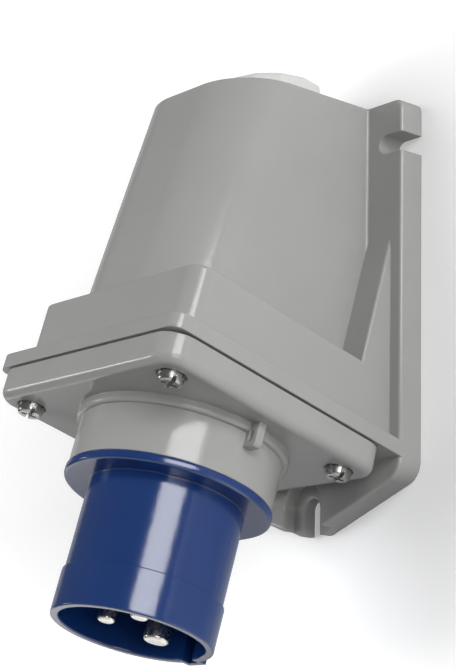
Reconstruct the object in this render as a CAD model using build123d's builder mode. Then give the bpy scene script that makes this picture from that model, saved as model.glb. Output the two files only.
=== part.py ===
from build123d import *
from math import cos, radians, sin, tan
import os

os.makedirs("parts", exist_ok=True)

# Frame of the model
# X runs to the right along the wall, Y runs into the wall, Z runs up.
# The origin is the middle of the wall plate's back face, which lies on the wall.

# Wall plate
plate_width = 78.0
plate_height = 121.0
plate_depth = 8.0
plate_top_radius = 3.0
plate_shoulder_height = 13.2
plate_shoulder_radius = 6.5
plate_foot_width = 9.0
plate_front_round = 1.1

# Lightening pockets in the back of the wall plate, with ribs between them
pocket_floor = 2.6
pocket_edge_wall = 2.4
slot_wall = 2.2
rib_thickness = 1.6
pocket_columns = 5
pocket_rows = 8
smallest_pocket = 16.0

# Open slots for the wall screws
slot_width = 6.0
lower_slot_length = 7.5
lower_recess_width = 15.0
lower_recess_depth = 4.0
upper_slot_width = 5.6
upper_slot_drop = 12.8
upper_slot_land = 4.5
slot_round = 0.7

# Sloping plug axis and the seam where cover and housing meet
tilt = 16.0
axis_reach = 49.8
axis_drop = 30.5

# Upper body of the housing
body_width = 51.0
body_top_depth = 55.2
body_corner_radius = 18.0
body_top_round = 1.2
body_wall = 2.6
roof_thickness = 3.2
body_foot_round = 0.9

# Lower box, its rim and the side gussets
box_front = 34.2
box_height = 21.6
box_corner_radius = 5.0
box_wall = 2.6
ledge_round = 0.8
rim_width = plate_width
rim_overhang = 4.2
box_width = rim_width - 2 * rim_overhang
rim_front = 39.4
rim_thickness = 4.5
rim_corner_radius = 3.6
rim_round = 0.6
gusset_height = 19.5
gusset_reach = 10.5
gusset_round = 0.8

# Seal between housing and cover
seal_gap = 0.6
seal_inset = 2.6
seal_band = 4.4
ring_seal_width = 1.3
ring_seal_height = 1.2

# Cover with its collar; the rim stands proud of it by a small step all round
cover_step = 0.4
cover_corner_radius = 7.0
cover_thickness = 8.1
cover_floor = 3.4
cover_edge_round = 2.6
collar_radius = 28.2
collar_wall = 2.8
collar_length = 16.0
collar_foot_radius = 29.6
collar_foot_height = 2.6
collar_foot_round = 1.0
throat_radius = 19.5
lug_width = 2.5
lug_reach = 4.6
lug_height = 6.8
lug_eye_width = 1.5
lug_eye_height = 3.4
lug_eye_drop = 3.7
lug_round = 1.4

# Cover screws, set in from the sides and from the front of the rim
screw_side_inset = 8.5
screw_front_inset = 8.9
screw_span_x = rim_width - 2 * screw_side_inset
screw_span_y = 2 * (rim_front - screw_front_inset)
screw_radius = 1.75
screw_head_radius = 3.7
screw_head_height = 3.1
screw_bite = 9.0
screw_sink = 0.5
post_radius = 4.2

# Blue insert
flange_radius = 28.7
flange_thickness = 2.6
flange_round = 0.8
shroud_radius = 21.5
shroud_bore_radius = 19.8
shroud_length = 37.8
band_radius = 22.1
band_length = 12.0
lip_round = 0.5
pin_deck_depth = 36.0
pin_deck_thickness = 9.0
key_width = 7.0
key_height = 1.5
key_wall = 1.4
tail_length = 15.5

# Contact pins
pin_circle_radius = 8.2
pin_radius = 2.5
pin_inset = 2.4
earth_pin_radius = 3.5
earth_pin_inset = 0.8
pin_tip = 1.0
pin_shoulder = 0.5
pin_collar_thickness = 1.6
pin_collar_step = 2.8
terminal_step = 1.5
terminal_length = 24.0
wire_bore_depth = 9.0
wire_bore_wall = 2.1

# Retainer that holds the pins in the insert
retainer_radius = 18.8
retainer_thickness = 3.0

# Small screws inside
small_screw_radius = 1.45
small_head_radius = 2.7
small_head_height = 1.8
insert_screw_circle = 22.4
insert_screw_bite = 9.0
retainer_screw_bite = 6.0
terminal_screw_radius = 1.4
terminal_screw_length = 3.6
driver_slot = 0.8
screw_turn = 20.0

# Pan heads, as shares of the head's radius and height
crown_share = 0.7
slot_width_share = 0.22
cross_span_share = 1.1
head_rim_share = 0.35
slot_depth_share = 0.45
cross_depth_share = 0.6
screw_point = 1.2
screw_point_share = 0.4

# Cable gland in the roof
gland_reach = 23.0
gland_head_radius = 14.9
gland_head_height = 8.6
gland_facets = 12
gland_edge_round = 0.8
gland_top_round = 1.4
gland_bore_radius = 7.4
gland_thread_radius = 11.4
spout_wall = 2.6
spout_length = 17.0
spout_floor = 2.2
washer_thickness = 1.0
gland_seal_height = 5.0
gland_seal_bore_radius = 5.2

# Clearances
thread_clearance = 0.05
sliding_clearance = 0.15
screw_clearance = 0.35
seat_gap = 0.02

# Overlaps that let neighbouring forms of one moulding grow together
root = 3.0
overlap = 1.0

# How far two directions may lean apart and still count as parallel
parallel = 0.001

# Planes that follow from the sizes above
wall_plane = Plane.XZ
seam_origin = (0, -axis_reach, -axis_drop)
seam_up = (0, sin(radians(tilt)), cos(radians(tilt)))
seam_down = (0, -sin(radians(tilt)), -cos(radians(tilt)))
seam = Plane(origin=seam_origin, x_dir=(1, 0, 0), z_dir=seam_up)
mouth = Plane(origin=seam_origin, x_dir=(1, 0, 0), z_dir=seam_down)
axial = Plane(origin=seam_origin, x_dir=(1, 0, 0), z_dir=-mouth.y_dir)
plug_axis = Axis(seam_origin, seam_down)
roof = Plane.XY.offset(plate_height / 2)

# Depths along the plug axis, counted down from the seam
cover_top = seal_gap
cover_bottom = cover_top + cover_thickness
collar_end = cover_bottom + collar_length
flange_end = collar_end + flange_thickness
shroud_end = flange_end + shroud_length
deck_front = shroud_end - pin_deck_depth
deck_back = deck_front - pin_deck_thickness
tail_end = collar_end - tail_length
terminal_end = deck_back - terminal_length

# Places of the pins across the plug axis, earth towards the wall, with radius and inset from the mouth
pin_side = pin_circle_radius * cos(radians(30))
pin_rise = pin_circle_radius * sin(radians(30))
pins = {
    "line_pin": (pin_side, pin_rise, pin_radius, pin_inset),
    "neutral_pin": (-pin_side, pin_rise, pin_radius, pin_inset),
    "earth_pin": (0, -pin_circle_radius, earth_pin_radius, earth_pin_inset),
}


def distance_to_plate(height):
    """Distance along the seam plane from the plug axis to the plate's front, at a height above it."""
    run = axis_reach - plate_depth - height * sin(radians(tilt))
    return run / cos(radians(tilt))


def round_fronted(plane, width, front, back, radius):
    """A rectangle whose two front corners are rounded; front and back are measured towards the wall."""
    with BuildSketch(plane) as outline:
        with Locations((0, (front + back) / 2)):
            Rectangle(width, back - front)
        fillet(outline.vertices().group_by(Axis.Y)[0], radius)
    return outline.sketch


def turned(plane, points):
    """A solid turned about the plane's normal; each point is (radius, distance along the normal)."""
    section = Plane(origin=plane.origin, x_dir=plane.x_dir, z_dir=-plane.y_dir)
    with BuildPart() as piece:
        with BuildSketch(section):
            with BuildLine():
                Polyline(*points, close=True)
            make_face()
        revolve(axis=Axis(plane.origin, plane.z_dir))
    return piece.part


def place(plane, x, y, turn=0):
    """The plane moved to a point of itself and turned about its normal."""
    return Plane(plane.location * Pos(x, y, 0) * Rot(0, 0, turn))


def pan_screw(shank_radius, bite, head_radius, head_height):
    """A pan-head screw that stands on the plane z = 0 with its shank below it."""
    crown = crown_share * head_radius
    slot = slot_width_share * head_radius
    rim_height = head_rim_share * head_height
    bulge = Vector((head_radius + crown) / 2 + cos(radians(45)) * (head_radius - crown) / 2,
                   (rim_height + head_height) / 2 + sin(radians(45)) * (head_height - rim_height) / 2)
    with BuildPart() as screw:
        with BuildSketch(Plane.XZ):
            with BuildLine():
                Polyline((0, 0), (0, -bite), (shank_radius * screw_point_share, -bite),
                         (shank_radius, -bite + screw_point), (shank_radius, 0), (head_radius, 0),
                         (head_radius, rim_height))
                ThreePointArc((head_radius, rim_height), bulge, (crown, head_height))
                Polyline((crown, head_height), (0, head_height), (0, 0))
            make_face()
        revolve(axis=Axis.Z)
        with BuildSketch(Plane.XY.offset(head_height)):
            Rectangle(2 * head_radius, slot)
        extrude(amount=-head_height * slot_depth_share, mode=Mode.SUBTRACT)
        with BuildSketch(Plane.XY.offset(head_height)):
            Rectangle(cross_span_share * head_radius, slot)
            Rectangle(slot, cross_span_share * head_radius)
        extrude(amount=-head_height * cross_depth_share, mode=Mode.SUBTRACT)
    return screw.part


# Lines of the leaning upper body
# Its front face starts flush with the box a little below the ledge and leans back to the roof.
foot_height = box_height - root
foot_y = -axis_reach - box_front * cos(radians(tilt)) + foot_height * sin(radians(tilt))
foot_z = -axis_drop + box_front * sin(radians(tilt)) + foot_height * cos(radians(tilt))
lean = (-foot_y - body_top_depth) / (plate_height / 2 - foot_z)
inner_roof = plate_height / 2 - roof_thickness
inner_top_front = -body_top_depth - lean * roof_thickness + body_wall
gland_y = -gland_reach
spout_radius = gland_thread_radius + thread_clearance + spout_wall

# Wiring space inside the housing
with BuildPart() as wiring_space:
    inner_body_width = body_width - 2 * body_wall
    inner_body_radius = body_corner_radius - body_wall
    inner_front = -box_front + box_wall
    add(round_fronted(seam.offset(foot_height), inner_body_width, inner_front,
                      distance_to_plate(foot_height), inner_body_radius))
    add(round_fronted(Plane.XY.offset(inner_roof), inner_body_width, inner_top_front,
                      -plate_depth, inner_body_radius))
    loft(ruled=True)
    inner_box_width = box_width - 2 * box_wall
    inner_box_radius = box_corner_radius - box_wall
    inner_box = round_fronted(seam.offset(rim_thickness), inner_box_width, inner_front,
                              distance_to_plate(0), inner_box_radius)
    extrude(inner_box, amount=box_height - box_wall - rim_thickness, dir=seam_up)
    split(bisect_by=wall_plane.offset(plate_depth), keep=Keep.TOP)
    with BuildSketch(seam.offset(-overlap)):
        RectangleRounded(inner_box_width, 2 * (box_front - box_wall), inner_box_radius)
    extrude(amount=rim_thickness + 2 * overlap)
    with BuildSketch(seam.offset(-overlap)):
        with GridLocations(screw_span_x, screw_span_y, 2, 2):
            Circle(post_radius)
    extrude(amount=box_height + overlap, mode=Mode.SUBTRACT)
    with BuildSketch(roof):
        with Locations((0, gland_y)):
            Circle(spout_radius)
    extrude(amount=-spout_length, mode=Mode.SUBTRACT)

# Places of the slots in the wall plate
lower_slot_z = -plate_height / 2 + lower_slot_length
upper_slot_z = plate_height / 2 - upper_slot_drop
upper_slot_length = (plate_width - body_width) / 2 - upper_slot_land
upper_slot_x = plate_width / 2 - upper_slot_length + upper_slot_width / 2


def plate_sketch():
    """The wall plate's outline: straight sides, rounded shoulders and a narrow foot."""
    shoulder = -plate_height / 2 + plate_shoulder_height
    with BuildSketch(wall_plane) as outline:
        with BuildLine():
            Polyline((-plate_width / 2, plate_height / 2), (-plate_width / 2, shoulder),
                     (-plate_foot_width / 2, -plate_height / 2), (plate_foot_width / 2, -plate_height / 2),
                     (plate_width / 2, shoulder), (plate_width / 2, plate_height / 2), close=True)
        make_face()
        fillet(outline.vertices().group_by(Axis.Y)[-1], plate_top_radius)
        fillet(outline.vertices().group_by(Axis.Y)[1], plate_shoulder_radius)
    return outline.sketch


def foot_slot(plane, width):
    """The slot in the foot, open downwards, at a width."""
    with BuildSketch(plane) as slot:
        with Locations((0, lower_slot_z)):
            Circle(width / 2)
        with Locations((0, lower_slot_z - lower_slot_length)):
            Rectangle(width, 2 * lower_slot_length)
    return slot.sketch


def side_slots(plane, width):
    """The two slots near the top, open sideways, at a width."""
    with BuildSketch(plane) as slots:
        for side in (-1, 1):
            with Locations((side * upper_slot_x, upper_slot_z)):
                Circle(width / 2)
            with Locations((side * (upper_slot_x + upper_slot_length), upper_slot_z)):
                Rectangle(2 * upper_slot_length, width)
    return slots.sketch


def foot_edges(face, width):
    """The edges of a face that run round the foot slot at a width."""
    return [edge for edge in face.edges() if abs(edge.center().X) < width / 2 + seat_gap
            and edge.center().Z < lower_slot_z + width / 2 + seat_gap]


# Wall plate with its slots, and pockets in its back that leave walls round them
with BuildPart() as wall_plate:
    away = wall_plane.z_dir
    extrude(plate_sketch(), amount=plate_depth, dir=away)
    recess = foot_slot(wall_plane.offset(plate_depth - lower_recess_depth), lower_recess_width)
    extrude(recess, amount=lower_recess_depth, dir=away, mode=Mode.SUBTRACT)
    front = wall_plate.faces().filter_by(Axis.Y).sort_by(Axis.Y)[0]
    recess_edges = foot_edges(front, lower_recess_width)
    fillet([edge for edge in front.edges() if edge not in recess_edges], plate_front_round)
    front = wall_plate.faces().filter_by(Axis.Y).sort_by(Axis.Y)[0]
    fillet(foot_edges(front, lower_recess_width), slot_round)
    extrude(foot_slot(wall_plane, slot_width), amount=plate_depth, dir=away, mode=Mode.SUBTRACT)
    recess_floor = wall_plate.faces().filter_by(Axis.Y).sort_by(Axis.Y)[1]
    fillet(foot_edges(recess_floor, slot_width), slot_round)
    extrude(side_slots(wall_plane, upper_slot_width), amount=plate_depth, dir=away, mode=Mode.SUBTRACT)
    with BuildSketch(wall_plane) as pockets:
        add(plate_sketch())
        offset(amount=-pocket_edge_wall)
        inner_width = plate_width - 2 * pocket_edge_wall
        inner_height = plate_height - 2 * pocket_edge_wall
        with GridLocations((inner_width + rib_thickness) / pocket_columns, 0, pocket_columns - 1, 1):
            Rectangle(rib_thickness, plate_height, mode=Mode.SUBTRACT)
        with GridLocations(0, (inner_height + rib_thickness) / pocket_rows, 1, pocket_rows - 1):
            Rectangle(plate_width, rib_thickness, mode=Mode.SUBTRACT)
        add(foot_slot(wall_plane, lower_recess_width + 2 * slot_wall), mode=Mode.SUBTRACT)
        add(side_slots(wall_plane, upper_slot_width + 2 * slot_wall), mode=Mode.SUBTRACT)
    for pocket in pockets.sketch.faces():
        if pocket.area > smallest_pocket:
            extrude(pocket, amount=plate_depth - pocket_floor, dir=away, mode=Mode.SUBTRACT)

# Where the box and the rim end, a little inside the wall plate
seam_back = distance_to_plate(0) + overlap

# Lower box with the ledge on top
with BuildPart() as lower_box:
    box_outline = round_fronted(seam, box_width, -box_front, seam_back, box_corner_radius)
    extrude(box_outline, amount=box_height, dir=seam_up)
    fillet(lower_box.faces().sort_by(Axis(seam_origin, seam_up))[-1].edges().sort_by(Axis.Y)[:-1],
           ledge_round)

# Rim that the cover closes against
with BuildPart() as rim:
    rim_outline = round_fronted(seam, rim_width, -rim_front, seam_back, rim_corner_radius)
    extrude(rim_outline, amount=rim_thickness, dir=seam_up)
    fillet(rim.faces().sort_by(Axis(seam_origin, seam_up))[-1].edges().sort_by(Axis.Y)[:-1], rim_round)

# Gussets that run from the ledge up the wall plate, cut flush with the sides of the box
with BuildPart() as gussets:
    ledge_y = -plate_depth - gusset_reach
    ledge_run = (ledge_y + axis_reach - box_height * sin(radians(tilt))) / cos(radians(tilt))
    ledge_z = -axis_drop - ledge_run * sin(radians(tilt)) + box_height * cos(radians(tilt))
    with BuildSketch(Plane.YZ):
        with BuildLine():
            Polyline((-plate_depth + overlap, gusset_height), (-plate_depth, gusset_height),
                     (ledge_y, ledge_z), (ledge_y, ledge_z - root),
                     (-plate_depth + overlap, ledge_z - root - gusset_reach), close=True)
        make_face()
    extrude(amount=box_width / 2, both=True)
    slope = Vector(0, ledge_y + plate_depth, ledge_z - gusset_height).normalized()
    fillet([edge for edge in gussets.edges() if edge.tangent_at(0).cross(slope).length < parallel],
           gusset_round)

# Housing, one moulding: plate, leaning body, box, rim, gussets and the spout in the roof
with BuildPart() as housing:
    add(round_fronted(seam.offset(foot_height), body_width, -box_front,
                      distance_to_plate(foot_height) + overlap, body_corner_radius))
    add(round_fronted(roof, body_width, -body_top_depth, -plate_depth + overlap, body_corner_radius))
    loft(ruled=True)
    fillet(housing.faces().sort_by(Axis.Z)[-1].edges().sort_by(Axis.Y)[:-1], body_top_round)
    add(lower_box.part)
    add(rim.part)
    add(gussets.part)
    split(bisect_by=wall_plane.offset(plate_depth - overlap), keep=Keep.TOP)
    add(wall_plate.part)
    fillet([edge for edge in housing.edges() if abs(edge.center().Y + plate_depth) < seat_gap
            and abs(abs(edge.center().X) - body_width / 2) < seat_gap], body_foot_round)
    add(wiring_space.part, mode=Mode.SUBTRACT)
    with BuildSketch(roof):
        with Locations((0, gland_y)):
            Circle(gland_thread_radius + thread_clearance)
    extrude(amount=-(spout_length - spout_floor), mode=Mode.SUBTRACT)
    with BuildSketch(roof):
        with Locations((0, gland_y)):
            Circle(gland_bore_radius)
    extrude(amount=-spout_length - overlap, mode=Mode.SUBTRACT)
    with BuildSketch(seam):
        with GridLocations(screw_span_x, screw_span_y, 2, 2):
            Circle(screw_radius + thread_clearance)
    extrude(amount=screw_bite + overlap, mode=Mode.SUBTRACT)

# Seal in the seam
with BuildPart() as cover_seal:
    with BuildSketch(mouth.offset(seat_gap)):
        RectangleRounded(rim_width - 2 * seal_inset, 2 * (rim_front - seal_inset),
                         cover_corner_radius - seal_inset)
        RectangleRounded(rim_width - 2 * (seal_inset + seal_band), 2 * (rim_front - seal_inset - seal_band),
                         box_corner_radius - box_wall, mode=Mode.SUBTRACT)
        with GridLocations(screw_span_x, screw_span_y, 2, 2):
            Circle(post_radius)
        with GridLocations(screw_span_x, screw_span_y, 2, 2):
            Circle(screw_radius + screw_clearance, mode=Mode.SUBTRACT)
    extrude(amount=seal_gap - 2 * seat_gap)

# Cover with collar and lug
with BuildPart() as cover:
    with BuildSketch(mouth.offset(cover_top)):
        RectangleRounded(rim_width - 2 * cover_step, 2 * (rim_front - cover_step), cover_corner_radius)
    extrude(amount=cover_thickness)
    fillet(cover.faces().sort_by(Axis(seam_origin, seam_down))[-1].edges(), cover_edge_round)
    with BuildSketch(mouth.offset(cover_bottom)):
        Circle(collar_foot_radius)
    extrude(amount=collar_foot_height)
    fillet(cover.edges().filter_by(GeomType.CIRCLE).sort_by(Axis(seam_origin, seam_down))[-1],
           collar_foot_round)
    with BuildSketch(mouth.offset(cover_bottom)):
        Circle(collar_radius)
    extrude(amount=collar_length)
    with BuildSketch(axial) as lug_profile:
        with Locations((collar_radius - overlap, cover_bottom - overlap)):
            Rectangle(lug_reach + overlap, lug_height + overlap, align=(Align.MIN, Align.MIN))
        fillet(lug_profile.vertices().group_by(Axis.X)[-1].sort_by(Axis.Y)[-1], lug_round)
    extrude(amount=lug_width / 2, both=True)
    with BuildSketch(mouth.offset(cover_top)):
        RectangleRounded(inner_box_width, 2 * (box_front - box_wall), inner_box_radius)
        with GridLocations(screw_span_x, screw_span_y, 2, 2):
            Circle(post_radius, mode=Mode.SUBTRACT)
    extrude(amount=cover_thickness - cover_floor, mode=Mode.SUBTRACT)
    with BuildSketch(mouth.offset(cover_bottom)):
        Circle(collar_radius - collar_wall)
    extrude(amount=collar_length, mode=Mode.SUBTRACT)
    with BuildSketch(mouth):
        Circle(throat_radius)
    extrude(amount=cover_bottom, mode=Mode.SUBTRACT)
    with BuildSketch(mouth):
        with GridLocations(screw_span_x, screw_span_y, 2, 2):
            Circle(screw_radius + screw_clearance)
    extrude(amount=cover_bottom, mode=Mode.SUBTRACT)
    with BuildSketch(mouth.offset(cover_bottom)):
        with GridLocations(screw_span_x, screw_span_y, 2, 2):
            Circle(screw_head_radius + screw_clearance)
    extrude(amount=-screw_sink, mode=Mode.SUBTRACT)
    with BuildSketch(mouth):
        with PolarLocations(insert_screw_circle, 4, start_angle=45):
            Circle(small_screw_radius + screw_clearance)
    extrude(amount=cover_bottom, mode=Mode.SUBTRACT)
    seal_middle = collar_radius - collar_wall / 2
    with BuildSketch(mouth.offset(collar_end)):
        Circle(seal_middle + ring_seal_width / 2)
        Circle(seal_middle - ring_seal_width / 2, mode=Mode.SUBTRACT)
    extrude(amount=-ring_seal_height, mode=Mode.SUBTRACT)
    with BuildSketch(axial):
        with Locations((collar_radius + lug_reach / 2, cover_bottom + lug_eye_drop)):
            SlotOverall(lug_eye_height, lug_eye_width, rotation=90)
    extrude(amount=lug_width, both=True, mode=Mode.SUBTRACT)

# Ring seal between collar and insert
with BuildPart() as insert_seal:
    with BuildSketch(mouth.offset(collar_end - seat_gap)):
        Circle(seal_middle + ring_seal_width / 2 - sliding_clearance / 2)
        Circle(seal_middle - ring_seal_width / 2 + sliding_clearance / 2, mode=Mode.SUBTRACT)
    extrude(amount=-(ring_seal_height - 2 * seat_gap))

# Blue insert: flange, shroud with its thicker mouth band and key, pin deck and tail
with BuildPart() as inlet_insert:
    tail_radius = collar_radius - collar_wall - sliding_clearance
    with BuildSketch(axial) as insert_profile:
        with BuildLine():
            Polyline((throat_radius, tail_end), (tail_radius, tail_end), (tail_radius, collar_end + seat_gap),
                     (flange_radius, collar_end + seat_gap), (flange_radius, flange_end),
                     (shroud_radius, flange_end), (shroud_radius, shroud_end - band_length),
                     (band_radius, shroud_end - band_length), (band_radius, shroud_end),
                     (shroud_bore_radius, shroud_end), (shroud_bore_radius, deck_front),
                     (0, deck_front), (0, deck_back), (throat_radius, deck_back), close=True)
        make_face()
        fillet(insert_profile.vertices().group_by(Axis.X)[-1], flange_round)
        fillet(insert_profile.vertices().group_by(Axis.Y)[-1], lip_round)
    revolve(axis=plug_axis)
    key_top = band_radius + key_height
    with BuildSketch(mouth.offset(flange_end)):
        with Locations((0, -shroud_radius + overlap)):
            Rectangle(key_width, key_top - shroud_radius + overlap, align=(Align.CENTER, Align.MAX))
    extrude(amount=shroud_length)
    with BuildSketch(mouth.offset(deck_front)):
        with Locations((0, -shroud_bore_radius + overlap)):
            Rectangle(key_width - 2 * key_wall, key_top - key_wall - shroud_bore_radius + overlap,
                      align=(Align.CENTER, Align.MAX))
    extrude(amount=pin_deck_depth, mode=Mode.SUBTRACT)
    with BuildSketch(mouth.offset(deck_back)):
        for x, y, radius, inset in pins.values():
            with Locations((x, y)):
                Circle(radius + pin_shoulder + thread_clearance)
    extrude(amount=pin_deck_thickness, mode=Mode.SUBTRACT)
    with BuildSketch(mouth.offset(deck_back)):
        for x, y, radius, inset in pins.values():
            with Locations((x, y)):
                Circle(radius + pin_collar_step + sliding_clearance)
    extrude(amount=pin_collar_thickness, mode=Mode.SUBTRACT)
    with BuildSketch(mouth.offset(deck_back)):
        Circle(small_screw_radius + thread_clearance)
    extrude(amount=retainer_screw_bite + overlap, mode=Mode.SUBTRACT)
    with BuildSketch(mouth.offset(tail_end)):
        with PolarLocations(insert_screw_circle, 4, start_angle=45):
            Circle(small_screw_radius + thread_clearance)
    extrude(amount=insert_screw_bite + overlap, mode=Mode.SUBTRACT)

# Contact pins with their screw terminals
contact_pins = {}
terminal_screws = []
for name, (x, y, radius, inset) in pins.items():
    centre = place(mouth, x, y)
    collar = radius + pin_collar_step
    terminal = radius + terminal_step
    wire_bore = terminal - wire_bore_wall
    with BuildPart() as contact_pin:
        shoulder = radius + pin_shoulder
        add(turned(centre, [(0, shroud_end - inset), (radius, shroud_end - inset), (radius, deck_front),
                            (shoulder, deck_front), (shoulder, deck_back + pin_collar_thickness),
                            (collar, deck_back + pin_collar_thickness),
                            (collar, deck_back + seat_gap), (terminal, deck_back + seat_gap),
                            (terminal, terminal_end), (0, terminal_end)]))
        fillet(contact_pin.edges().sort_by(plug_axis)[-1], pin_tip)
        with BuildSketch(centre.offset(terminal_end)):
            Circle(wire_bore)
        extrude(amount=wire_bore_depth, mode=Mode.SUBTRACT)
        outward = centre.origin - mouth.origin
        screw_seat = Plane(origin=centre.offset(terminal_end + wire_bore_depth / 2).origin, z_dir=outward)
        with BuildSketch(screw_seat):
            Circle(terminal_screw_radius + thread_clearance)
        extrude(amount=terminal + overlap, mode=Mode.SUBTRACT)
    contact_pins[name] = contact_pin.part
    with BuildPart() as terminal_screw:
        with BuildSketch(screw_seat.offset(wire_bore)):
            Circle(terminal_screw_radius)
        extrude(amount=terminal_screw_length)
        with BuildSketch(screw_seat.offset(wire_bore + terminal_screw_length)):
            Rectangle(2 * terminal_screw_radius, driver_slot)
        extrude(amount=-driver_slot, mode=Mode.SUBTRACT)
    terminal_screws.append(terminal_screw.part)

# Retainer plate behind the pin deck
with BuildPart() as pin_retainer:
    with BuildSketch(mouth.offset(deck_back - seat_gap)):
        Circle(retainer_radius)
        for x, y, radius, inset in pins.values():
            with Locations((x, y)):
                Circle(radius + terminal_step + sliding_clearance, mode=Mode.SUBTRACT)
        Circle(small_screw_radius + screw_clearance, mode=Mode.SUBTRACT)
    extrude(amount=-(retainer_thickness - seat_gap))

# Screws
small_screw_length = cover_floor + tail_end - cover_bottom + insert_screw_bite
cover_screw = pan_screw(screw_radius, cover_bottom - screw_sink + screw_bite, screw_head_radius,
                        screw_head_height)
insert_screw = pan_screw(small_screw_radius, small_screw_length, small_head_radius, small_head_height)
retainer_screw_solid = pan_screw(small_screw_radius, retainer_thickness + retainer_screw_bite,
                                 small_head_radius, small_head_height)
screw_seats = GridLocations(screw_span_x, screw_span_y, 2, 2).locations
insert_seats = PolarLocations(insert_screw_circle, 4, start_angle=45).locations
head_plane = mouth.offset(cover_bottom - screw_sink + seat_gap)
inner_head_plane = seam.offset(-(cover_bottom - cover_floor - seat_gap))
retainer_head_plane = seam.offset(-(deck_back - retainer_thickness - seat_gap))
cover_screws = Compound(children=[cover_screw.moved(head_plane.location * seat * Rot(0, 0, screw_turn))
                                  for seat in screw_seats])
insert_screws = Compound(children=[insert_screw.moved(inner_head_plane.location * seat)
                                   for seat in insert_seats])
retainer_screw = retainer_screw_solid.moved(retainer_head_plane.location)

# Cable gland in the roof
seal_floor = -(spout_length - spout_floor)
seal_top = seal_floor + seat_gap + gland_seal_height
washer_top = seal_top + seat_gap + washer_thickness
gland_rim = gland_thread_radius - sliding_clearance
gland_plane = place(roof, 0, gland_y)

with BuildPart() as gland_nut:
    with BuildSketch(gland_plane.offset(seat_gap)):
        RegularPolygon(gland_head_radius, gland_facets)
    extrude(amount=gland_head_height)
    fillet(gland_nut.edges().filter_by(Axis.Z), gland_edge_round)
    fillet(gland_nut.faces().sort_by(Axis.Z)[-1].edges(), gland_top_round)
    with BuildSketch(gland_plane.offset(washer_top + seat_gap)):
        Circle(gland_thread_radius)
    extrude(amount=-washer_top)
    with BuildSketch(gland_plane.offset(washer_top)):
        Circle(gland_bore_radius)
    extrude(amount=gland_head_height - washer_top + overlap, mode=Mode.SUBTRACT)

with BuildPart() as gland_washer:
    with BuildSketch(gland_plane.offset(washer_top - washer_thickness)):
        Circle(gland_rim)
        Circle(gland_bore_radius, mode=Mode.SUBTRACT)
    extrude(amount=washer_thickness)

with BuildPart() as gland_seal:
    with BuildSketch(gland_plane.offset(seal_floor + seat_gap)):
        Circle(gland_rim)
        Circle(gland_seal_bore_radius, mode=Mode.SUBTRACT)
    extrude(amount=gland_seal_height)

# Each piece is written under its own name
pieces = {
    "housing": housing.part,
    "cover": cover.part,
    "cover_seal": cover_seal.part,
    "cover_screws": cover_screws,
    "inlet_insert": inlet_insert.part,
    "insert_seal": insert_seal.part,
    "insert_screws": insert_screws,
    "pin_retainer": pin_retainer.part,
    "retainer_screw": retainer_screw,
    "terminal_screws": Compound(children=terminal_screws),
    "gland_nut": gland_nut.part,
    "gland_washer": gland_washer.part,
    "gland_seal": gland_seal.part,
}
pieces.update(contact_pins)
for label, piece in pieces.items():
    piece.label = label
    export_step(piece, f"parts/{label}.step")
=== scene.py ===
"""Looks of a wall inlet: a leaning grey housing on a wall plate, a cover with a collar and a blue plug."""

import logging
from dataclasses import dataclass, field
from enum import Enum
from math import cos, radians, sin

import bpy
import numpy as np
from mathutils import Matrix, Vector


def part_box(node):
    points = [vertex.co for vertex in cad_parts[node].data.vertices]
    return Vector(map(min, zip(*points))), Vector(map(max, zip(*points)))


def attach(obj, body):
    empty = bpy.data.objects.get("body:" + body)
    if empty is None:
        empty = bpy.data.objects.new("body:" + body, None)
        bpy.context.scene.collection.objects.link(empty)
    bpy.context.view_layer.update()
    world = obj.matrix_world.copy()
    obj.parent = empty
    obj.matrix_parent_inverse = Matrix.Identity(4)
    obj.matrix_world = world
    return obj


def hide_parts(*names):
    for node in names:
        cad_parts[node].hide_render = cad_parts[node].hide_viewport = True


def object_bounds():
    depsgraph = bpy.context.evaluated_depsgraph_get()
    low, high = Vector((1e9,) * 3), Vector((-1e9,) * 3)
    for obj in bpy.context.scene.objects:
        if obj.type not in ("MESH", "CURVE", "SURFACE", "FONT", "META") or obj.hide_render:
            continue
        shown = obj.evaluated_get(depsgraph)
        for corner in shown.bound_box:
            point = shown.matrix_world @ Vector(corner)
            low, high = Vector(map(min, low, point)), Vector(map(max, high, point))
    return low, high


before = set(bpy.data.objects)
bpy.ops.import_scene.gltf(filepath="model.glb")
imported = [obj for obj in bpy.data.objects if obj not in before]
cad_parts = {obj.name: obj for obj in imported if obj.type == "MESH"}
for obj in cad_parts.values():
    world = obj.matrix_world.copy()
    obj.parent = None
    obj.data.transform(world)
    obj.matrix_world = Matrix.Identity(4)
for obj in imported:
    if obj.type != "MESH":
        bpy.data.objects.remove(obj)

LOG = logging.getLogger("wall_inlet")
CAD_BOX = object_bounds()
MM = 0.001
TINY = 1e-9
BEVEL_SAMPLES = 6
NOISE_MIDDLE = (0.25, 0.75)
PLAIN_STRETCH = (1.0, 1.0, 1.0)


class Slot(Enum):
    """The record's material slots."""

    GREY = "grey_plastic"
    BLUE = "blue_plastic"
    PALE = "pale_plastic"
    INNER = "inner_plastic"
    STEEL = "steel"
    NICKEL = "nickel"
    RUBBER = "black_rubber"


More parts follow.
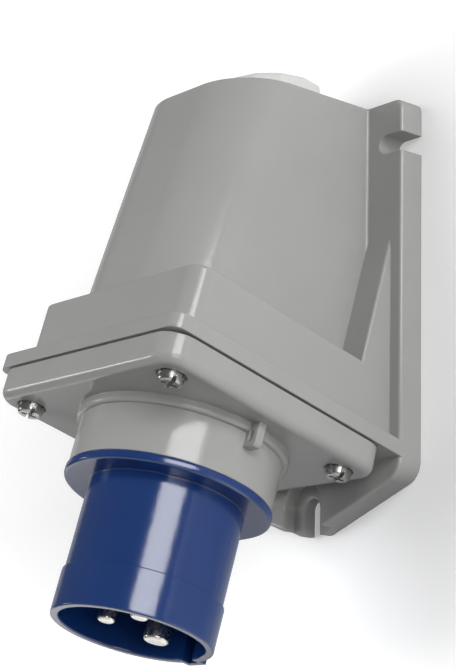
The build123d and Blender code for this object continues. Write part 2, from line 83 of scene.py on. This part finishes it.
class Signal:
    """A value or colour that leaves a node; arithmetic on it adds Math nodes."""

    def __init__(self, graph: "Graph", socket: bpy.types.NodeSocket) -> None:
        """Keeps the graph and the socket that the value leaves from."""
        self.graph = graph
        self.socket = socket

    def _math(self, operation: str, first: "Signal | float", second: "Signal | float") -> "Signal":
        """One Math node, by Blender's name of its operation."""
        return self.graph.node("ShaderNodeMath", {"operation": operation}, {0: first, 1: second})

    def __add__(self, other: "Signal | float") -> "Signal":
        """Sum."""
        return self._math("ADD", self, other)

    def __radd__(self, other: float) -> "Signal":
        """Reflected sum."""
        return self._math("ADD", other, self)

    def __mul__(self, other: "Signal | float") -> "Signal":
        """Product."""
        return self._math("MULTIPLY", self, other)

    def __rmul__(self, other: float) -> "Signal":
        """Reflected product."""
        return self._math("MULTIPLY", other, self)

    def larger(self, other: "Signal | float") -> "Signal":
        """The larger of two values."""
        return self._math("MAXIMUM", self, other)

    def smaller(self, other: "Signal | float") -> "Signal":
        """The smaller of two values."""
        return self._math("MINIMUM", self, other)


class Graph:
    """The node tree of a material or a world."""

    def __init__(self, owner: bpy.types.Material | bpy.types.World) -> None:
        """Empties the owner's tree.

        Args:
            owner: The material or world.
        """
        owner.use_nodes = True
        self.owner = owner
        self.tree = owner.node_tree
        self.tree.nodes.clear()

    def raw(self, kind: str, settings: dict | None = None, inputs: dict | None = None) -> bpy.types.Node:
        """Adds a node of any type.

        Args:
            kind: The node's type.
            settings: Attributes of the node, which are set first.
            inputs: Values or Signals, by the input's name or number.

        Returns:
            The node.
        """
        node = self.tree.nodes.new(kind)
        for key, value in (settings or {}).items():
            setattr(node, key, value)
        for key, value in (inputs or {}).items():
            self.feed(node.inputs[key], value)
        return node

    def node(self, kind: str, settings: dict | None = None, inputs: dict | None = None,
             output: int | str = 0) -> Signal:
        """Adds a node of any type and gives one of its outputs, by name or number."""
        return Signal(self, self.raw(kind, settings, inputs).outputs[output])

    def feed(self, socket: bpy.types.NodeSocket, value: "Signal | float | tuple") -> None:
        """Gives a socket its value.

        Args:
            socket: The input socket.
            value: A Signal, which is linked, or a number, colour or vector, which is set.
        """
        if isinstance(value, Signal):
            self.tree.links.new(value.socket, socket)
        else:
            socket.default_value = value

    def place(self) -> Signal:
        """The object coordinate of the point, in metres."""
        return self.node("ShaderNodeTexCoord", output="Object")

    def noise(self, scale: float, detail: float = 2.0, fineness: float = 0.5,
              stretch: tuple = PLAIN_STRETCH) -> Signal:
        """Noise from 0 to 1.

        Args:
            scale: Cells per metre.
            detail: Octaves.
            fineness: Share that each finer octave keeps.
            stretch: Factor on the scale along each axis.

        Returns:
            The noise value.
        """
        where = self.node("ShaderNodeMapping", None, {"Vector": self.place(), "Scale": stretch})
        return self.node("ShaderNodeTexNoise", None, {"Vector": where, "Scale": scale, "Detail": detail,
                                                      "Roughness": fineness})

    def ramp(self, value: Signal, span: tuple, levels: tuple) -> Signal:
        """Takes a span of a value to a pair of levels, held level past both ends.

        Args:
            value: The value.
            span: Where it starts and ends.
            levels: What it becomes there.

        Returns:
            The new value.
        """
        return self.node("ShaderNodeMapRange", None, {
            "Value": value, "From Min": span[0], "From Max": span[1],
            "To Min": levels[0], "To Max": levels[1]})

    def drift(self, levels: tuple, scale: float, detail: float = 2.0, fineness: float = 0.5) -> Signal:
        """A value that drifts between two levels, as the middle half of a noise does."""
        return self.ramp(self.noise(scale, detail, fineness), NOISE_MIDDLE, levels)

    def blend(self, factor: Signal, first: tuple, second: tuple) -> Signal:
        """Mixes two colours, which a Mix node has at inputs 6 and 7 and gives at output 2."""
        return self.node("ShaderNodeMix", {"data_type": "RGBA"}, {0: factor, 6: first, 7: second}, 2)

    def relief(self, height: Signal, depth: float, edge_radius: float = 0.0) -> Signal:
        """A normal for a skin in relief.

        Args:
            height: The skin's height, from 0 to 1.
            depth: What a height of 1 stands for, in metres.
            edge_radius: How far edges are eased under it, in metres.

        Returns:
            The normal.
        """
        inputs = {"Height": height, "Distance": depth, "Strength": 1.0}
        if edge_radius > 0.0:
            inputs["Normal"] = self.node("ShaderNodeBevel", {"samples": BEVEL_SAMPLES},
                                         {"Radius": edge_radius})
        return self.node("ShaderNodeBump", None, inputs)

    def end(self, shader: Signal) -> bpy.types.Material | bpy.types.World:
        """Ends the tree with a shader.

        Args:
            shader: The shader.

        Returns:
            The material or world.
        """
        world = isinstance(self.owner, bpy.types.World)
        self.raw("ShaderNodeOutputWorld" if world else "ShaderNodeOutputMaterial", None, {"Surface": shader})
        return self.owner


def new_material(name: str) -> Graph:
    """The empty graph of a new material."""
    return Graph(bpy.data.materials.new(name))


def grey(level: float) -> tuple:
    """A grey with full alpha."""
    return (level, level, level, 1.0)


@dataclass(frozen=True)
class MouldedPlastic:
    """Moulded plastic with a faint cloudiness, a soft orange-peel skin and eased edges.

    Here and in the other finishes scales are in cells per metre, and depths and radii in metres.
    """

    name: str
    colour: tuple
    cloud_colour: tuple
    roughness: tuple = (0.12, 0.16)
    specular: float = 0.55
    cloud_scale: float = 45.0
    gloss_scale: float = 135.0
    peel_scale: float = 420.0
    peel_depth: float = 0.00003
    grain_scale: float = 2600.0
    grain_share: float = 0.12
    edge_radius: float = 0.00045

    def material(self) -> bpy.types.Material:
        """Builds the node tree.

        Returns:
            The material.
        """
        graph = new_material(self.name)
        cloud = graph.drift((0.0, 1.0), self.cloud_scale, detail=3.0)
        skin = graph.noise(self.peel_scale) + graph.noise(self.grain_scale, detail=1.0) * self.grain_share
        return graph.end(graph.node("ShaderNodeBsdfPrincipled", None, {
            "Base Color": graph.blend(cloud, self.colour, self.cloud_colour),
            "Roughness": graph.drift(self.roughness, self.gloss_scale, detail=4.0),
            "Normal": graph.relief(skin, self.peel_depth, self.edge_radius),
            "Specular IOR Level": self.specular,
        }))


@dataclass(frozen=True)
class PlatedMetal:
    """Plated metal with a cloudy plating and marks of turning along its axis."""

    name: str
    colour: tuple
    dull_colour: tuple
    roughness: tuple
    cloud_scale: float = 500.0
    gloss_scale: float = 1000.0
    mark_scale: float = 3000.0
    mark_stretch: tuple = (0.12, 0.12, 1.0)
    mark_depth: float = 0.000012
    edge_radius: float = 0.00015

    def material(self) -> bpy.types.Material:
        """Builds the node tree.

        Returns:
            The material.
        """
        graph = new_material(self.name)
        cloud = graph.drift((0.0, 1.0), self.cloud_scale, detail=4.0, fineness=0.6)
        marks = graph.noise(self.mark_scale, stretch=self.mark_stretch)
        return graph.end(graph.node("ShaderNodeBsdfPrincipled", None, {
            "Base Color": graph.blend(cloud, self.colour, self.dull_colour),
            "Roughness": graph.drift(self.roughness, self.gloss_scale, detail=3.0),
            "Normal": graph.relief(marks, self.mark_depth, self.edge_radius),
            "Metallic": 1.0,
        }))


@dataclass(frozen=True)
class Rubber:
    """Matt rubber with a dusty bloom and a fine grain."""

    name: str
    colour: tuple
    bloom_colour: tuple
    roughness: tuple = (0.62, 0.82)
    bloom_scale: float = 160.0
    gloss_scale: float = 600.0
    grain_scale: float = 1800.0
    grain_depth: float = 0.00004

    def material(self) -> bpy.types.Material:
        """Builds the node tree.

        Returns:
            The material.
        """
        graph = new_material(self.name)
        bloom = graph.drift((0.0, 1.0), self.bloom_scale, detail=4.0, fineness=0.6)
        return graph.end(graph.node("ShaderNodeBsdfPrincipled", None, {
            "Base Color": graph.blend(bloom, self.colour, self.bloom_colour),
            "Roughness": graph.drift(self.roughness, self.gloss_scale),
            "Normal": graph.relief(graph.noise(self.grain_scale), self.grain_depth),
        }))


FINISHES = {
    Slot.GREY: MouldedPlastic("grey moulding", (0.335, 0.335, 0.325, 1.0), (0.355, 0.355, 0.345, 1.0)),
    Slot.BLUE: MouldedPlastic("blue moulding", (0.006, 0.032, 0.145, 1.0), (0.008, 0.038, 0.166, 1.0),
                              roughness=(0.13, 0.17), specular=0.85),
    Slot.PALE: MouldedPlastic("pale moulding", (0.62, 0.63, 0.61, 1.0), (0.66, 0.67, 0.65, 1.0),
                              roughness=(0.40, 0.50)),
    Slot.INNER: MouldedPlastic("dark inner moulding", (0.030, 0.030, 0.031, 1.0), (0.040, 0.040, 0.041, 1.0),
                               roughness=(0.45, 0.60)),
    Slot.STEEL: PlatedMetal("zinc plated steel", (0.50, 0.50, 0.49, 1.0), (0.36, 0.36, 0.35, 1.0),
                            roughness=(0.20, 0.36)),
    Slot.NICKEL: PlatedMetal("nickel plated brass", (0.80, 0.78, 0.74, 1.0), (0.68, 0.66, 0.62, 1.0),
                             roughness=(0.20, 0.34)),
    Slot.RUBBER: Rubber("black rubber", grey(0.020), grey(0.034)),
}

NODE_SLOTS = {
    "housing": Slot.GREY, "cover": Slot.GREY, "cover_seal": Slot.RUBBER, "cover_screws": Slot.STEEL,
    "inlet_insert": Slot.BLUE, "insert_seal": Slot.RUBBER, "insert_screws": Slot.STEEL,
    "pin_retainer": Slot.INNER, "retainer_screw": Slot.STEEL, "line_pin": Slot.NICKEL,
    "neutral_pin": Slot.NICKEL, "earth_pin": Slot.NICKEL, "terminal_screws": Slot.STEEL,
    "gland_nut": Slot.PALE, "gland_washer": Slot.INNER, "gland_seal": Slot.RUBBER,
}


def add_piece(name: str, points: np.ndarray, faces: list, sharp: float) -> bpy.types.Object:
    """Makes a piece that rides on the fixed body.

    Args:
        name: The piece's name.
        points: Its points in metres, one row each.
        faces: Arrays of faces, one row of point numbers each.
        sharp: The angle in degrees past which an edge stays sharp.

    Returns:
        The new object.
    """
    mesh = bpy.data.meshes.new(name)
    mesh.from_pydata(points.tolist(), [], [face for block in faces for face in block.tolist()])
    mesh.polygons.foreach_set("use_smooth", np.ones(len(mesh.polygons), dtype=bool))
    mesh.set_sharp_from_angle(angle=radians(sharp))
    piece = bpy.data.objects.new(name, mesh)
    bpy.context.scene.collection.objects.link(piece)
    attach(piece, "root")
    LOG.info("%s: %d faces", name, len(mesh.polygons))
    return piece


def ring_faces(rings: np.ndarray) -> np.ndarray:
    """Quads between rings of point numbers.

    Args:
        rings: One ring a row, from the top down, each running left as seen from above.

    Returns:
        One quad a row, facing outward.
    """
    lower, upper = rings[1:], rings[:-1]
    return np.stack((lower, np.roll(lower, -1, 1), np.roll(upper, -1, 1), upper), -1).reshape(-1, 4)


@dataclass(frozen=True)
class PlugAxis:
    """The sloping axis of the plug, from the middle of the seam down and away from the wall; mm."""

    middle: tuple = (0.0, -49.8, -30.5)
    tilt: float = radians(16.0)

    def seat(self, depth: float, across: float, out: float, turn: float, upward: bool) -> np.ndarray:
        """The place of a screw on the axis.

        Args:
            depth: Distance down the axis from the seam to the screw's seat, in mm.
            across: Distance to the right of the axis, in mm.
            out: Distance from the axis away from the wall, in mm.
            turn: Turn about the screw's own axis, in radians.
            upward: True where the head looks up the axis.

        Returns:
            A matrix of four rows and columns, in metres.
        """
        down = Vector((0.0, -sin(self.tilt), -cos(self.tilt)))
        front = Vector((0.0, -cos(self.tilt), sin(self.tilt)))
        right = Vector((1.0, 0.0, 0.0))
        place = Vector(self.middle) + down * depth + right * across + front * out
        side, axis = (-front, -down) if upward else (front, down)
        first = right * cos(turn) + side * sin(turn)
        matrix = Matrix((first, axis.cross(first), axis)).transposed().to_4x4()
        matrix.translation = place * MM
        return np.array(matrix)


AXIS = PlugAxis()


@dataclass(frozen=True)
class PanScrew:
    """A pan-head screw with a slot and a cross in its head and a coarse thread.

    Lengths are in mm. The crown, the slot, the cross and the ease are shares of the head's radius, the rim
    and the two depths are shares of its height, and the root and the point's share are shares of the shank's
    radius.
    """

    radius: float
    bite: float
    head_radius: float
    head_height: float
    crown: float = 0.7
    rim: float = 0.35
    slot: float = 0.11
    cross: float = 0.55
    slot_depth: float = 0.45
    cross_depth: float = 0.6
    ease: float = 0.035
    pitch: float = 1.3
    ridge_slope: float = 1.8
    root: float = 0.76
    plain: float = 1.2
    point: float = 1.2
    point_share: float = 0.4
    slot_rows: int = 3
    cross_rows: int = 7
    rim_rows: int = 9
    turn_rows: int = 9
    sharp: float = 40.0

    def _within(self, value: np.ndarray, edge: float) -> np.ndarray:
        """1 within an edge, falling to 0 over the ease."""
        return np.clip((edge + self.ease - abs(value)) / self.ease, 0.0, 1.0)

    def _disc(self) -> tuple:
        """A square grid that is drawn out to a disc of radius 1.

        In the middle the grid is square, so its lines follow the slot and the cross. Further out each square
        ring turns into a circle: a point moves towards its circle by a smooth step, which is three times the
        square less twice the cube of how far its ring lies from the cross to the rim.

        Returns:
            The grid's x and y.
        """
        half = np.concatenate((np.linspace(0.0, self.slot, self.slot_rows),
                               np.linspace(self.slot + self.ease, self.cross, self.cross_rows),
                               np.linspace(self.cross + self.ease, 1.0, self.rim_rows)))
        line = np.concatenate((-half[:0:-1], half))
        x, y = np.meshgrid(line, line)
        square = np.maximum(abs(x), abs(y))
        circle = np.where(square > 0, square / np.maximum(np.hypot(x, y), TINY), 1.0)
        share = np.clip((square - self.cross) / (1.0 - self.cross), 0.0, 1.0)
        share = share * share * (3.0 - 2.0 * share)
        stretch = 1.0 + share * (circle - 1.0)
        return x * stretch, y * stretch

    def _head(self) -> tuple:
        """The top of the head as a height over the disc.

        The height is the lower of two surfaces: a flat crown that falls to the rim as a quarter of an
        ellipse, and the floor of the slot and the cross, whose walls lean by a small ease.

        Returns:
            The points, their faces, and the numbers of the points on the rim.
        """
        x, y = self._disc()
        away = np.clip((np.hypot(x, y) - self.crown) / (1.0 - self.crown), 0.0, 1.0)
        dome = self.rim + (1.0 - self.rim) * np.sqrt(1.0 - away * away)
        arms = np.maximum(self._within(x, self.cross) * self._within(y, self.slot),
                          self._within(y, self.cross) * self._within(x, self.slot))
        cut = np.maximum(self.slot_depth * self._within(y, self.slot), self.cross_depth * arms)
        z = np.minimum(dome, 1.0 - cut)
        points = np.stack((x * self.head_radius, y * self.head_radius, z * self.head_height), -1)
        number = np.arange(x.size).reshape(x.shape)
        quads = np.stack((number[:-1, :-1], number[:-1, 1:], number[1:, 1:], number[1:, :-1]), -1)
        edge = np.concatenate((number[0, :-1], number[:-1, -1], number[-1, :0:-1], number[:0:-1, 0]))
        return points.reshape(-1, 3), quads.reshape(-1, 4), edge

    def _shank(self, around: np.ndarray) -> np.ndarray:
        """Rings of points from under the head to the tip.

        The radius at a height and an angle is the shank's radius less a groove. The groove's depth follows a
        saw wave of height over pitch plus angle over a full turn, so its ridges climb as a helix. The first
        stretch is plain, and the last one tapers to the point.

        Args:
            around: The angles of the rim's points, in radians.

        Returns:
            The points, by ring, point and axis.
        """
        rows = int(self.turn_rows * self.bite / self.pitch)
        z = -np.linspace(0.0, self.bite, rows)[:, None]
        taper = np.clip((-z - self.bite + self.point) / self.point, 0.0, 1.0)
        wave = (z / self.pitch + around / (2.0 * np.pi)) % 1.0
        ridge = np.clip(self.ridge_slope * abs(2.0 * wave - 1.0) - (self.ridge_slope - 1.0), 0.0, 1.0)
        cut = np.clip((-z - self.plain) / self.pitch, 0.0, 1.0) * (1.0 - self.root) * (1.0 - ridge)
        radius = self.radius * (1.0 - (1.0 - self.point_share) * taper) * (1.0 - cut)
        return np.stack((radius * np.cos(around), radius * np.sin(around), z + 0.0 * radius), -1)

    def surface(self) -> tuple:
        """The closed surface of one screw that stands on z = 0.

        Returns:
            The points in metres and the arrays of faces.
        """
        head, quads, edge = self._head()
        around = np.arctan2(head[edge, 1], head[edge, 0])
        foot = np.stack((self.head_radius * np.cos(around), self.head_radius * np.sin(around),
                         np.zeros(around.size)), -1)
        rings = np.concatenate((foot[None], self._shank(around)))
        numbers = head.shape[0] + np.arange(rings[..., 0].size).reshape(rings.shape[:2])
        points = np.concatenate((head, rings.reshape(-1, 3), [[0.0, 0.0, -self.bite]]))
        tip = np.full(around.size, points.shape[0] - 1)
        cap = np.stack((tip, np.roll(numbers[-1], -1), numbers[-1]), -1)
        return points * MM, [quads, ring_faces(np.concatenate((edge[None], numbers))), cap]

    def build(self, name: str, seats: list, node: str) -> bpy.types.Object:
        """Puts a screw on each seat.

        Args:
            name: The piece's name.
            seats: The matrix of each seat.
            node: The CAD node that the piece stands for.

        Returns:
            The screws, as one piece.
        """
        points, faces = self.surface()
        placed = np.concatenate([points @ seat[:3, :3].T + seat[:3, 3] for seat in seats])
        copies = [block + index * points.shape[0] for index in range(len(seats)) for block in faces]
        piece = add_piece(name, placed, copies, self.sharp)
        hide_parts(node)
        return piece


@dataclass
class Fasteners:
    """The screws with slotted heads: four in the cover, four in the insert and one in the retainer; mm."""

    cover: PanScrew = PanScrew(radius=1.75, bite=17.2, head_radius=3.7, head_height=3.1)
    cover_depth: float = 8.22
    cover_reach: float = 30.5
    cover_turn: float = radians(20.0)
    insert: PanScrew = PanScrew(radius=1.45, bite=12.9, head_radius=2.7, head_height=1.8)
    insert_depth: float = 5.28
    insert_circle: float = 22.4
    insert_turns: tuple = (45.0, 135.0, 225.0, 315.0)
    retainer: PanScrew = PanScrew(radius=1.45, bite=9.0, head_radius=2.7, head_height=1.8)
    retainer_depth: float = 17.08

    def _cover_seats(self) -> list:
        """The corners of a square on the cover, heads down."""
        sides = (-self.cover_reach, self.cover_reach)
        return [AXIS.seat(self.cover_depth, x, y, self.cover_turn, upward=False)
                for x in sides for y in sides]

    def _insert_seats(self) -> list:
        """Places on a circle inside the insert, heads up."""
        return [AXIS.seat(self.insert_depth, self.insert_circle * cos(turn), -self.insert_circle * sin(turn),
                          turn, upward=True) for turn in map(radians, self.insert_turns)]

    def build(self) -> list:
        """Builds the three groups of screws.

        Returns:
            One piece for each group.
        """
        middle = [AXIS.seat(self.retainer_depth, 0.0, 0.0, 0.0, upward=True)]
        return [self.cover.build("cover_screw_set", self._cover_seats(), "cover_screws"),
                self.insert.build("insert_screw_set", self._insert_seats(), "insert_screws"),
                self.retainer.build("retainer_screw_body", middle, "retainer_screw")]


@dataclass
class GlandRing:
    """The rubber ring in the gland, with ridges on its top face and lips in its bore; mm."""

    bore: float = 5.2
    ridges: int = 4
    ridge_height: float = 0.35
    lips: int = 3
    lip_height: float = 0.6
    wall_rows: int = 8
    foot_rows: int = 12
    wave_rows: int = 40
    around: int = 96
    sharp: float = 50.0

    def _section(self, outer: float, height: float) -> tuple:
        """The ring's section: down the outer wall, in along the foot, up the bore and out over the top.

        In the bore the radius grows between the lips as one minus a cosine, and on the top the height falls
        between the ridges in the same way.

        Args:
            outer: The ring's outer radius.
            height: The ring's height.

        Returns:
            The radius and the height of each point.
        """
        step = np.linspace(0.0, 1.0, self.wave_rows, endpoint=False)
        dip = (1.0 - np.cos(2.0 * np.pi * step * self.lips)) / 2 * self.lip_height
        sag = (1.0 - np.cos(2.0 * np.pi * step * self.ridges)) / 2 * self.ridge_height
        radius = np.concatenate((np.full(self.wall_rows, outer),
                                 np.linspace(outer, self.bore, self.foot_rows, endpoint=False),
                                 self.bore + dip, self.bore + step * (outer - self.bore)))
        rise = np.concatenate((np.linspace(height, 0.0, self.wall_rows, endpoint=False),
                               np.zeros(self.foot_rows), step * height, height - sag))
        return radius, rise

    def build(self) -> bpy.types.Object:
        """Carries the section along a circle, in the box of the CAD's ring.

        Returns:
            The ring.
        """
        low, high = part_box("gland_seal")
        middle = (low + high) / 2
        radius, rise = self._section((high.x - low.x) / 2 / MM, (high.z - low.z) / MM)
        turn = np.linspace(0.0, 2.0 * np.pi, self.around, endpoint=False)
        points = np.stack((radius[:, None] * np.cos(turn), radius[:, None] * np.sin(turn),
                           rise[:, None] + 0.0 * turn), -1).reshape(-1, 3) * MM
        points += np.array((middle.x, middle.y, low.z))
        numbers = np.arange(points.shape[0]).reshape(radius.size, -1)
        faces = ring_faces(np.concatenate((numbers, numbers[:1])))
        piece = add_piece("gland_ring", points, [faces], self.sharp)
        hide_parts("gland_seal")
        return piece


@dataclass
class Dresser:
    """Gives each piece the finish of its slot."""

    made: dict = field(default_factory=dict)

    def material(self, slot: Slot) -> bpy.types.Material:
        """The slot's material, built once.

        Args:
            slot: The slot.

        Returns:
            The material.
        """
        if slot not in self.made:
            self.made[slot] = FINISHES[slot].material()
        return self.made[slot]

    def dress(self, piece: bpy.types.Object, slot: Slot) -> None:
        """Puts the slot's material on a piece."""
        piece.data.materials.clear()
        piece.data.materials.append(self.material(slot))

    def dress_nodes(self) -> None:
        """Puts a material on every CAD node."""
        for name, slot in NODE_SLOTS.items():
            self.dress(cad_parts[name], slot)
            LOG.info("dressed %s with %s", name, slot.value)


@dataclass(frozen=True)
class Lamp:
    """A rectangular lamp in metres and watts, placed by the angles in degrees at which the object sees it.

    The azimuth is counted from straight out of the wall towards the right, the height from level.
    """

    name: str
    azimuth: float
    height: float
    size: tuple
    power: float
    distance: float = 1.0
    glossy: bool = True

    def build(self, middle: Vector) -> None:
        """Makes the lamp.

        Args:
            middle: The point that it looks at.
        """
        turn, rise = radians(self.azimuth), radians(self.height)
        ray = Vector((sin(turn) * cos(rise), -cos(turn) * cos(rise), sin(rise)))
        data = bpy.data.lights.new(self.name, "AREA")
        data.shape = "RECTANGLE"
        data.size, data.size_y = self.size
        data.energy = self.power
        lamp = bpy.data.objects.new(self.name, data)
        bpy.context.scene.collection.objects.link(lamp)
        lamp.location = middle + ray * self.distance
        lamp.rotation_mode = "QUATERNION"
        lamp.rotation_quaternion = (-ray).to_track_quat("-Z", "Y")
        lamp.visible_glossy = self.glossy


LAMPS = (
    Lamp("left_key", azimuth=-38.0, height=6.0, size=(0.7, 0.7), power=7.0, glossy=False),
    Lamp("right_fill", azimuth=92.0, height=4.0, size=(0.5, 0.7), power=2.9, glossy=False),
    Lamp("low_front", azimuth=60.0, height=-6.0, size=(0.5, 0.25), power=2.3),
    Lamp("bank", azimuth=64.0, height=22.0, size=(0.58, 0.36), power=4.3),
    Lamp("left_strip", azimuth=-52.0, height=-4.0, size=(0.24, 0.12), power=0.75),
    Lamp("back_fill", azimuth=180.0, height=10.0, size=(0.5, 0.5), power=3.0, glossy=False),
)


@dataclass(frozen=True)
class PhotoCamera:
    """The camera at the photograph's angle: below the object, to its right, looking up at it.

    Angles are in degrees. The offset says where the middle of the seam lies right of, above and ahead of the
    camera, in mm. The focal length and the picture's long side are in the photograph's pixels, the sensor is
    in mm, and the clip distances are in metres.
    """

    yaw: float = 49.595
    pitch: float = -13.165
    roll: float = 1.45
    offset: tuple = (-10.114, -20.408, 544.53)
    focal: float = 1988.6
    long_side: float = 669.0
    sensor: float = 36.0
    clip: tuple = (0.01, 20.0)

    def build(self) -> None:
        """Makes the camera and looks through it."""
        yaw, pitch, roll = radians(self.yaw), radians(self.pitch), radians(self.roll)
        level = Vector((cos(yaw), sin(yaw), 0.0))
        ahead = Vector((-sin(yaw) * cos(pitch), cos(yaw) * cos(pitch), -sin(pitch)))
        up = level.cross(ahead)
        right = level * cos(roll) + up * sin(roll)
        top = up * cos(roll) - level * sin(roll)
        offset = Vector(self.offset) * MM
        place = Vector(AXIS.middle) * MM - right * offset.x - top * offset.y - ahead * offset.z
        data = bpy.data.cameras.new("camera")
        data.sensor_width = self.sensor
        data.lens = self.focal * self.sensor / self.long_side
        data.clip_start, data.clip_end = self.clip
        camera = bpy.data.objects.new("camera", data)
        bpy.context.scene.collection.objects.link(camera)
        turn = Matrix((right, top, -ahead)).transposed()
        camera.matrix_world = Matrix.Translation(place) @ turn.to_4x4()
        bpy.context.scene.camera = camera


@dataclass
class Studio:
    """Wall, floor, soft lamps, world and camera; lengths in metres, tones and glows from 0 to 1."""

    middle: tuple = (0.0, -0.045, -0.01)
    wall_gap: float = 0.3 * MM
    wall_size: float = 3.0
    wall_tone: float = 0.94
    # painted light: the wall glows brighter low down than high up, lifting the object's shadow on the lower
    # wall
    wall_painted_glow: tuple = (0.62, 0.19)
    painted_glow_heights: tuple = (-0.135, -0.045)
    # painted shade: how far the wall is darkened in mirrored rays above the plug's mouth
    reflected_wall_shade: float = 0.6
    shade_heights: tuple = (-0.17, -0.13)
    floor_drop: float = 1.2
    floor_size: float = 4.0
    floor_tone: float = 0.45
    floor_glow: float = 0.7
    matt: float = 0.9
    ambient: float = 0.06
    mirrored: float = 0.15

    def build(self) -> None:
        """Makes everything around the object."""
        bpy.context.scene.view_settings.view_transform = "Standard"
        self._wall()
        self._floor()
        self._world()
        for lamp in LAMPS:
            lamp.build(Vector(self.middle))
        PhotoCamera().build()

    def _sheet(self, name: str, corners: list, material: bpy.types.Material) -> None:
        """A flat staged sheet.

        Args:
            name: The sheet's name.
            corners: Its four corners.
            material: Its material.
        """
        mesh = bpy.data.meshes.new(name)
        mesh.from_pydata(corners, [], [(0, 1, 2, 3)])
        mesh.materials.append(material)
        sheet = bpy.data.objects.new(name, mesh)
        bpy.context.scene.collection.objects.link(sheet)

    def _rays(self, graph: Graph) -> dict:
        """1 or 0 for each kind of ray.

        Args:
            graph: The graph that the values are for.

        Returns:
            The values, by the kind of ray.
        """
        path = graph.raw("ShaderNodeLightPath")
        return {kind: Signal(graph, path.outputs[f"Is {kind} Ray"])
                for kind in ("Camera", "Glossy", "Transmission", "Shadow")}

    def _pale(self, graph: Graph, rays: dict, tone: float, glow: Signal | float) -> Signal:
        """A matt surface that glows a little to rays that show the background.

        These come straight from the camera, or are mirrored or passed on by a piece.

        Args:
            graph: The material's graph.
            rays: The kinds of ray.
            tone: The surface's own tone.
            glow: The tone of its glow.

        Returns:
            The shader.
        """
        shown = (rays["Camera"] + rays["Glossy"] + rays["Transmission"]).smaller(1.0)
        return graph.node("ShaderNodeBsdfPrincipled", None, {
            "Base Color": grey(tone), "Roughness": self.matt, "Specular IOR Level": 0.0,
            "Emission Color": graph.blend(shown * glow, grey(0.0), grey(1.0)), "Emission Strength": 1.0,
        })

    def _wall(self) -> None:
        """The wall behind the plate. Its back is clear, so that the object can be seen and lit from behind.

        In mirrored rays it is painted darker from the plug's mouth upwards: painted shade in what the pieces
        reflect.
        To rays that show the background it glows more low down than higher up: painted light that lifts the
        object's shadow on the lower wall.
        """
        graph = new_material("white wall")
        rays = self._rays(graph)
        height = graph.node("ShaderNodeSeparateXYZ", None, {"Vector": graph.place()}, "Z")
        # painted shade in reflections: mirrored rays see the wall mixed toward black above the plug's mouth
        painted_shade = graph.ramp(height, self.shade_heights, (0.0, self.reflected_wall_shade))
        # painted light: the wall's glow is stronger low down, which lifts the object's shadow there
        glow = graph.ramp(height, self.painted_glow_heights, self.wall_painted_glow)
        front = graph.node("ShaderNodeMixShader", None, {
            0: rays["Glossy"] * painted_shade, 1: self._pale(graph, rays, self.wall_tone, glow),
            2: graph.node("ShaderNodeBsdfDiffuse", None, {"Color": grey(0.0)})})
        clear = graph.node("ShaderNodeNewGeometry", output="Backfacing").larger(rays["Shadow"])
        material = graph.end(graph.node("ShaderNodeMixShader", None, {
            0: clear, 1: front, 2: graph.node("ShaderNodeBsdfTransparent")}))
        half, y = self.wall_size / 2, self.wall_gap
        corners = [(-half, y, -half), (half, y, -half), (half, y, half), (-half, y, half)]
        self._sheet("wall", corners, material)

    def _floor(self) -> None:
        """A pale floor below the object."""
        graph = new_material("pale floor")
        material = graph.end(self._pale(graph, self._rays(graph), self.floor_tone, self.floor_glow))
        half, z = self.floor_size / 2, CAD_BOX[0].z - self.floor_drop
        corners = [(-half, -half, z), (half, -half, z), (half, half, z), (-half, half, z)]
        self._sheet("floor", corners, material)

    def _world(self) -> None:
        """A pale world: white to the camera, dimmer as light and in reflections."""
        world = bpy.data.worlds.new("studio")
        bpy.context.scene.world = world
        graph = Graph(world)
        rays = self._rays(graph)
        strength = (rays["Camera"] * (1.0 - self.ambient) + rays["Glossy"] * (self.mirrored - self.ambient)
                    + self.ambient)
        graph.end(graph.node("ShaderNodeBackground", None, {"Color": grey(1.0), "Strength": strength}))


def main() -> None:
    """Builds the scene piece by piece."""
    logging.basicConfig(level=logging.INFO, format="%(message)s")
    Studio().build()
    dresser = Dresser()
    dresser.dress_nodes()
    for piece in Fasteners().build():
        dresser.dress(piece, Slot.STEEL)
    dresser.dress(GlandRing().build(), Slot.RUBBER)


if __name__ == "__main__":
    main()
